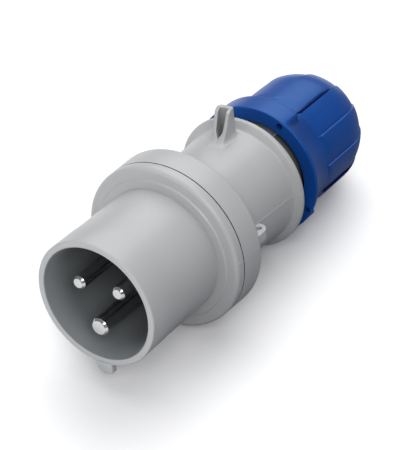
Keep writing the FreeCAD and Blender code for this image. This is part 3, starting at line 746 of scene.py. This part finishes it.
# the lid hook: a hairpin of two fins and a back wall, open at its top and front
hook = {
    "back": 101.05, "innerBack": 98.4, "slotBack": 99.2, "topBack": 39.3, "topFront": 38.3,
    "halfWidth": 3.7, "narrowing": 0.09, "narrowBefore": 97.3, "wall": 1.7, "corner": 1.5,
    "frontFoot": 88.0, "frontTop": 97.0, "frontBend": 0.5, "riseFoot": 25.7, "meetHeight": 4.5,
    "columns": 10, "finRun": 4.0, "slotFillet": 0.45, "slotShade": 0.45, "shadeRows": 9.0,
    # the rows of the foot's fillet, the walls and the rounded top edge, as shares of each
    "fillet": 1.9, "filletRows": (0.06, 0.15, 0.28, 0.45, 0.7, 1.0), "buried": 0.6,
    "wallRows": (0.12, 0.22, 0.34, 0.46, 0.58, 0.7, 0.82, 0.92),
    "edge": 0.5, "edgeRows": (1.0, 0.7, 0.45, 0.25, 0.1, 0.0),
}


def quarterArc(steps, first=0):
    return [pi / 2 * step / steps for step in range(first, steps + 1)]


def hookPlan(form):
    # the hairpin seen from above: (aside, place, share of the way along the fin, if on it)
    half, corner = form["halfWidth"], form["corner"]
    inner, nose = half - form["wall"], form["wall"] / 2
    plan = [(half - corner * (1 - cos(angle)), form["back"] - corner * (1 - sin(angle)), None)
            for angle in reversed(quarterArc(6))]
    shares = [step / form["columns"] for step in range(form["columns"] + 1)]
    plan += [(half, 0.0, share) for share in shares]
    for step in range(1, 8):
        angle = pi * step / 8
        plan.append((half - nose + nose * cos(angle), -nose * 0.55 * sin(angle), 1.0))
    plan += [(inner, 0.0, share) for share in reversed(shares)]
    plan += [(inner * cos(angle), form["innerBack"] + 0.6 * sin(angle), None)
             for angle in quarterArc(4, 1)]
    return plan + [(-x, y, share) for x, y, share in reversed(plan[:-1])]


def inSlot(form, x, y, share):
    # whether a place of the plan is on the slot's own walls
    if share is None:
        return y < form["slotBack"]
    return abs(x) < form["halfWidth"] - form["wall"] + 0.01


def hookSkin(x, along):
    # the height of the handle's skin at a place beside the hook's middle
    slope = (bodyRearRadius - bodyFrontRadius) / (bodyEnd - bodyStart)
    skin = bodyFrontRadius + (along - bodyStart) * slope
    return sqrt(skin * skin - x * x)


def hookHeight(form, kind, value, low, high):
    if kind == "foot":
        return low + value
    if kind == "top":
        return high - value
    return low + form["fillet"] + value * (high - form["edge"] - low - form["fillet"])


def finSpot(form, x, y, share, z, low):
    # low down the fins grow thick inwards until they meet at their front
    half = form["halfWidth"]
    rise = min(max((z - form["riseFoot"]) / (form["topFront"] - form["riseFoot"]), 0.0), 1.0)
    front = form["frontFoot"] + (form["frontTop"] - form["frontFoot"]) * rise ** form["frontBend"]
    along = form["innerBack"] - share * (form["innerBack"] - front) + y
    squeeze = form["narrowing"] * max(form["narrowBefore"] - along, 0.0)
    close = 0.97 * smooth(1.0 - (z - low) / form["meetHeight"]) * smooth((share - 0.25) / 0.75)
    depth = (half - abs(x)) * (1.0 + close * (half / form["wall"] - 1.0))
    return copysign(max(half - depth - squeeze, 0.03), x), along


def hookGrowth(form, kind, value):
    # how far a row stands out from the plain walls: the foot's fillet or the rounded edge
    fillet, edge = form["fillet"], form["edge"]
    if kind == "foot":
        height = min(max(value, 0.0), fillet)
        return fillet - sqrt(max(fillet * fillet - (fillet - height) ** 2, 0.0))
    if kind == "top":
        return -(edge - sqrt(max(edge * edge - (edge - value) ** 2, 0.0))) * 0.9
    return 0.0


def hookLoft(form):
    plan = hookPlan(form)
    count = len(plan)
    slot = [inSlot(form, *place) for place in plan]
    rows = [("foot", height) for height in (-form["buried"], 0.0)]
    rows += [("foot", form["fillet"] * share) for share in form["filletRows"]]
    rows += [("wall", share) for share in form["wallRows"]]
    rows += [("top", form["edge"] * share) for share in form["edgeRows"]]
    verts, shades = [], []
    for row, (kind, value) in enumerate(rows):
        ring = []
        for x, y, share in plan:
            low = hookSkin(x, y if share is None else form["innerBack"] - form["finRun"] * share)
            high = form["topBack"] + (form["topFront"] - form["topBack"]) * (share or 0.0)
            z = hookHeight(form, kind, value, low, high)
            ring.append(((x, y) if share is None else finSpot(form, x, y, share, z, low)) + (z,))
        grow = hookGrowth(form, kind, value)
        for i, (x, y, z) in enumerate(ring):
            before, after = ring[i - 1], ring[(i + 1) % count]
            dx, dy = after[0] - before[0], after[1] - before[1]
            size = hypot(dx, dy) or 1.0
            grown = grow * (form["slotFillet"] if slot[i] else 1.0)
            px, py = x + dy / size * -grown, y + dx / size * grown
            if kind == "foot":
                z -= (hookSkin(x, y) - hookSkin(px, py)) * (1.0 - max(value, 0.0) / form["fillet"])
            verts.append((px, py, z))
        # painted shade on the slot's own walls, full low down and fading towards the top edge
        deep = form["slotShade"] * smooth((len(rows) - 1 - row) / form["shadeRows"])
        shades += [deep if inside else 0.0 for inside in slot]
    last = (len(rows) - 1) * count
    faces = sideFaces(count, len(rows))
    faces += [tuple(range(count)), tuple(range(last, last + count))[::-1]]
    obj = meshObject("lidHook", verts, faces)
    storeNumbers(obj, "crease", shades)
    return settle(obj)


# the small ear on the mould's parting plane, with its eye
ear = {
    "start": 61.65, "end": 79.05, "reach": 31.4, "foot": 24.1, "corner": 4.5, "middle": -1.7,
    "half": 2.3, "edge": 0.35, "hole": 1.4, "holeOut": 27.8, "holeAlong": 75.35,
}


def earPlate(form):
    curve = bpy.data.curves.new("earOutline", "CURVE")
    curve.dimensions, curve.fill_mode = "2D", "BOTH"
    curve.extrude, curve.bevel_depth, curve.bevel_resolution = form["half"] - form["edge"], form["edge"], 2
    top, end = form["reach"] - form["edge"], form["end"] - form["edge"]
    outer = rounded([
        (form["start"], form["reach"] - 1.0), (form["start"], top), (end, top, form["corner"]),
        (end, form["foot"]), (bodyStart, form["foot"])], 10)
    hole = circlePoints(form["hole"] + form["edge"], 28, form["holeAlong"], form["holeOut"])
    for ring in (outer, hole):
        spline = curve.splines.new("POLY")
        spline.points.add(len(ring) - 1)
        for point, (along, out) in zip(spline.points, ring):
            point.co = (out, along, 0, 1)
        spline.use_cyclic_u = True
    outline = sceneObject("earOutline", curve)
    mesh = asMesh(outline)
    bpy.data.objects.remove(outline)
    mesh.transform(Matrix.Translation((0, 0, form["middle"])))
    return settle(sceneObject("sideEar", mesh))


toothRuns = [toothRun(tooth, middle) for middle in (tooth["clock"], tooth["clock"] + 180.0)]
handleShell = joined("handleShell", [rearShell, hookLoft(hook), earPlate(ear)] + toothRuns)
finishPiece(handleShell, "housing_grey", "housing", ["rear_housing"])


# Gland nut

nut = {
    "columns": 720, "radius": 30.25, "bore": 23.8, "faceRounding": 0.6,
    "flareFront": 1.2, "flareLength": 16.5, "sag": 0.36, "sagPlace": 0.42,
    "domeRadius": 26.4, "domeStart": 36.2, "domeSteps": 26,
    "panels": 12, "rise": 0.75, "panelStart": 15.7, "edgeTurn": 1.4, "fade": 7.0,
    "panelRows": (0.0, 0.06, 0.15, 0.28, 0.45, 0.7, 1.0, 1.4, 1.9, 2.5, 3.2, 4.0, 5.0, 6.5, 9.0, 14.0),
    "crease": 0.12, "creaseHalf": 0.9, "creaseRun": 2.5, "shadeWidth": 3.2,
    "bandLength": 11.6, "bandRounding": 0.8, "bandMiddle": -5.25, "bandHalf": 37.2, "bandRamp": 5.5,
    # how the back of a band falls to the flare: behind its end, share of its height
    "bandFall": ((0.12, 0.8), (0.3, 0.5), (0.5, 0.24), (0.7, 0.07), (0.9, 0.0)),
    "holeRadius": 1.5, "holeCircle": 27.9, "holeDepth": 5.0, "holeClocks": (30.0, 120.0, 210.0, 300.0),
    "cableHole": 12.0, "cableHoleLength": 3.4, "throat": 16.5, "seat": 21.6, "seatPlace": 158.35,
    "coneStart": 146.35, "creaseShade": 0.3, "flareShade": 0.62, "holeShade": 1.9,
}


def flareArc(form):
    # the circle through the flare's two ends and its sagging middle, in the axis's plane
    a0, o0 = nutFront + form["flareFront"], form["radius"]
    a1, o1 = nutFront + form["flareLength"], form["domeRadius"]
    am = a0 + form["sagPlace"] * (a1 - a0)
    om = form["domeRadius"] + form["sag"] * (form["radius"] - form["domeRadius"])
    d = 2 * (a0 * (om - o1) + am * (o1 - o0) + a1 * (o0 - om))
    q0, qm, q1 = a0 * a0 + o0 * o0, am * am + om * om, a1 * a1 + o1 * o1
    ca = (q0 * (om - o1) + qm * (o1 - o0) + q1 * (o0 - om)) / d
    co = (q0 * (a1 - am) + qm * (a0 - a1) + q1 * (am - a0)) / d
    return ca, co, hypot(a0 - ca, o0 - co)


def nutProfile(form):
    # rows of (along, out, how far the grip's sawtooth counts, how much a band adds)
    ca, co, cr = flareArc(form)

    def flare(along):
        return co - sqrt(max(cr * cr - (along - ca) ** 2, 0.0))

    radius, corner, bandCorner = form["radius"], form["faceRounding"], form["bandRounding"]
    rows = [(nutFront + 0.4, form["bore"], 0, 0), (nutFront, form["bore"] + 0.4, 0, 0)]
    rows += [(nutFront + corner - corner * cos(angle), radius - corner + corner * sin(angle), 0, 0)
             for angle in quarterArc(6)]
    bandEnd = nutFront + form["bandLength"]
    place = nutFront + form["flareFront"]
    while place < bandEnd - bandCorner:
        rows.append((place, flare(place), 0, radius - flare(place)))
        place += 0.8
    for angle in quarterArc(5):
        place = bandEnd - bandCorner + bandCorner * sin(angle)
        rows.append((place, flare(place), 0, radius - bandCorner * (1 - cos(angle)) - flare(place)))
    for behind, share in form["bandFall"]:
        place = bandEnd + behind
        rows.append((place, flare(place), 0, share * (radius - bandCorner - flare(place))))
    place = bandEnd + 1.0
    panelFront = nutFront + form["panelStart"]
    while place < panelFront - 0.1:
        rows.append((place, flare(place), 0, 0))
        place += 0.6
    base = form["domeRadius"] + form["rise"] / 2
    middle = nutFront + form["domeStart"]
    rows.append((panelFront - 0.05, form["domeRadius"] + 0.02, 0, 0))
    rows += [(panelFront + behind, base, 1, 0) for behind in form["panelRows"]]
    rows.append((middle - 2, base, 1, 0))
    last = asin((nutEnd - middle) / base)
    for step in range(form["domeSteps"] + 1):
        angle = last * step / form["domeSteps"]
        rows.append((middle + base * sin(angle), base * cos(angle), 1, 0))
    rim, hole, seat = base * cos(last), form["cableHole"], form["seatPlace"]
    rows += [(nutEnd, rim - 0.25, 1, 0), (nutEnd, rim - 1.2, 0, 0)]
    return rows + [(along, out, 0, 0) for along, out in (
        (nutEnd, hole + 0.3), (nutEnd - 0.3, hole), (nutEnd - form["cableHoleLength"], hole),
        (seat, form["throat"]), (seat, form["seat"]), (form["coneStart"], form["bore"]))]


def nutRule(form):
    # twelve sectors whose axis is shifted sideways, so that each stands proud along its
    # first edge and falls to nothing at its last; two bands that ramp down at their ends
    sector, rise = 360.0 / form["panels"], form["rise"]
    shift = rise / 2 / sin(radians(sector / 2))
    panelFront = nutFront + form["panelStart"]

    def below(value, limit):
        # 1 at nothing, and 0 from the limit on
        return calc("SUBTRACT", 1.0, calc("MINIMUM", calc("DIVIDE", value, limit), 1.0))

    def rule(tree, along, out, clock):
        part = calc("FLOORED_MODULO", calc("ADD", clock, 0.01), sector)
        tilt = calc("COSINE", calc("RADIANS", calc("ADD", part, 90.0 - sector / 2)))
        height = calc("ADD", calc("MULTIPLY", tilt, shift), rise / 2)
        # the first edge is rounded, and the front edge slopes more and more away from it
        edge = below(part, form["edgeTurn"])
        roundness = calc("SQRT", calc("SUBTRACT", 1.0, calc("MULTIPLY", edge, edge)))
        past = calc("POWER", calc("DIVIDE", part, sector), 0.6)
        slope = calc("MULTIPLY_ADD", past, form["fade"], 0.45)
        behind = calc("SUBTRACT", along, panelFront)
        fade = softStep(tree, calc("DIVIDE", behind, slope))
        raised = calc("MULTIPLY", calc("MULTIPLY", height, fade), roundness)
        # a crease runs along the foot of each raised edge
        apart = calc("MINIMUM", part, calc("SUBTRACT", sector, part))
        dip = below(apart, form["creaseHalf"])
        start = calc("MAXIMUM", calc("DIVIDE", behind, form["creaseRun"]), 0.0)
        depth = calc("MULTIPLY", calc("MINIMUM", start, 1.0), form["crease"])
        raised = calc("SUBTRACT", raised, calc("MULTIPLY", dip, depth))
        grip = calc("MULTIPLY", calc("SUBTRACT", raised, rise / 2), named(tree, "grip"))
        away = sidesAway(clock, form["bandMiddle"])
        ramp = softStep(tree, away, form["bandHalf"] + form["bandRamp"], form["bandHalf"])
        band = calc("MULTIPLY", ramp, named(tree, "band"))
        return calc("ADD", calc("ADD", out, grip), band)
    return rule


def inBlindHole(spot):
    circle, reach = nut["holeCircle"], nut["holeRadius"] + 0.05
    angles = [radians(clock) for clock in nut["holeClocks"]]
    return any(hypot(spot.x - circle * sin(angle), spot.z - circle * cos(angle)) < reach
               for angle in angles)


def nutShade(spot):
    # painted shade in the nut's creases, beyond its bands' ends and in its blind holes
    sector = 360.0 / nut["panels"]
    out, clock = hypot(spot.x, spot.z), degrees(atan2(spot.x, spot.z))
    part, behind = clock % sector, spot.y - nutFront
    if behind > 0.2 and inBlindHole(spot):
        return nut["holeShade"]
    if out < nut["cableHole"] + 0.5:
        return 0.0
    start = min(max((behind - nut["panelStart"]) / nut["creaseRun"], 0.0), 1.0)
    crease = nut["creaseShade"] * start * smooth(1.0 - (sector - part) / nut["shadeWidth"])
    # the painted shade beside a band fades further round, and towards both ends of the flare
    past = abs((clock - nut["bandMiddle"] + 90.0) % 180.0 - 90.0) - nut["bandHalf"]
    flare = smooth(past / nut["bandRamp"]) * smooth((40.0 - past) / 25.0)
    flare *= smooth((behind - 1.4) / 1.5) * smooth((17.5 - behind) / 3.0)
    return max(crease, nut["flareShade"] * flare)


turnNut = turningTree("turnedNut", finishes["nut_blue"], nutRule(nut))
nutShell = turnedPiece("glandNutShell", nutProfile(nut), turnNut, nut["columns"], ("grip", "band"))
holeEnd = nutFront + nut["holeDepth"]
drilled(nutShell, [rod("blindHole", nutFront - 1, holeEnd, nut["holeRadius"], nut["holeCircle"], clock, 24)
                   for clock in nut["holeClocks"]])
storeAt(nutShell, "crease", nutShade)
finishPiece(nutShell, "nut_blue", "nut", ["gland_nut"], 30.0)


# Camera, floor and light

cameraView = {
    "lens": 151.28, "azimuth": 34.05, "elevation": 41.23, "right": 40.96, "up": 31.02, "back": 737.0,
}


def makeCamera(view):
    turn, climb = radians(view["azimuth"]), radians(view["elevation"])
    ahead = Vector((-sin(turn) * cos(climb), cos(turn) * cos(climb), -sin(climb)))
    right = Vector((cos(turn), sin(turn), 0))
    up = right.cross(ahead)
    data = bpy.data.cameras.new("photoCamera")
    data.lens = view["lens"]
    data.clip_start, data.clip_end = 0.05, 20
    camera = sceneObject("photoCamera", data)
    camera.matrix_world = Matrix((right, up, -ahead)).transposed().to_4x4()
    camera.location = (right * view["right"] + up * view["up"] - ahead * view["back"]) * 0.001
    scene.camera = camera


studio = {
    "floorHalf": 3.0, "floorColour": "#FAFAFA", "cardColour": "#74747A", "floorLift": 0.02,
    "cardLeft": (0.01, -0.06), "cardFront": (0.0, -0.05),
    "worldStrength": 0.3, "worldColour": "#F5F6FC",
    # name, watts, width, place and what it aims at, in metres
    "lights": [
        ("backSoftbox", 8.8, 1.2, (-0.38, 0.75, 0.92), (0.0, 0.09, 0.0)),
        ("overhead", 6.0, 1.2, (0.0, 0.2, 1.25), (0.0, 0.09, 0.0)),
        ("frontLeft", 3.3, 0.7, (-0.45, -1.0, 0.35), (0.0, 0.05, 0.0)),
        ("frontRight", 4.8, 0.45, (0.5, -0.55, 0.75), (0.0, 0.05, 0.0)),
    ],
}


def whitePaper(look):
    # the camera sees white paper. The plug sees it white on its left and in front, and
    # dull on its right, where a dark card would stand, which keeps that side's foot dark
    paper = bpy.data.materials.new("whitePaper")
    paper.use_nodes = True
    tree = paper.node_tree
    shader = tree.nodes["Principled BSDF"]
    place = addNode(tree, "ShaderNodeTexCoord").outputs["Object"]
    spot = addNode(tree, "ShaderNodeSeparateXYZ", links={"Vector": place})
    left = softStep(tree, spot.outputs["X"], *look["cardLeft"])
    ahead = softStep(tree, spot.outputs["Y"], *look["cardFront"])
    seen = addNode(tree, "ShaderNodeLightPath").outputs["Is Camera Ray"]
    mix = addNode(tree, "ShaderNodeMix", {
        "data_type": "RGBA", 6: fromHex(look["cardColour"]), 7: fromHex(look["floorColour"])},
        {"Factor": calc("MAXIMUM", calc("MAXIMUM", left, ahead), seen)})
    tree.links.new(mix.outputs[2], shader.inputs["Base Color"])
    # for the camera the paper also glows faintly: painted light that lifts the shadows on it
    shader.inputs["Emission Color"].default_value = fromHex(look["floorColour"])
    tree.links.new(calc("MULTIPLY", seen, look["floorLift"]), shader.inputs["Emission Strength"])
    return paper


def makeStudio(look):
    half, low = look["floorHalf"], cadLow.z
    corners = [(-half, -half, low), (half, -half, low), (half, half, low), (-half, half, low)]
    floor = meshObject("floor", corners, [(0, 1, 2, 3)])
    floor.data.materials.append(whitePaper(look))
    world = bpy.data.worlds.new("studio")
    world.use_nodes = True
    scene.world = world
    background = world.node_tree.nodes["Background"]
    background.inputs["Color"].default_value = fromHex(look["worldColour"])
    background.inputs["Strength"].default_value = look["worldStrength"]
    for name, watts, width, place, aim in look["lights"]:
        data = bpy.data.lights.new(name, "AREA")
        data.energy, data.size = watts, width
        light = sceneObject(name, data)
        light.location = place
        light.rotation_euler = (Vector(aim) - light.location).to_track_quat("-Z", "Y").to_euler()


makeCamera(cameraView)
makeStudio(studio)
print("camera, floor and lights")
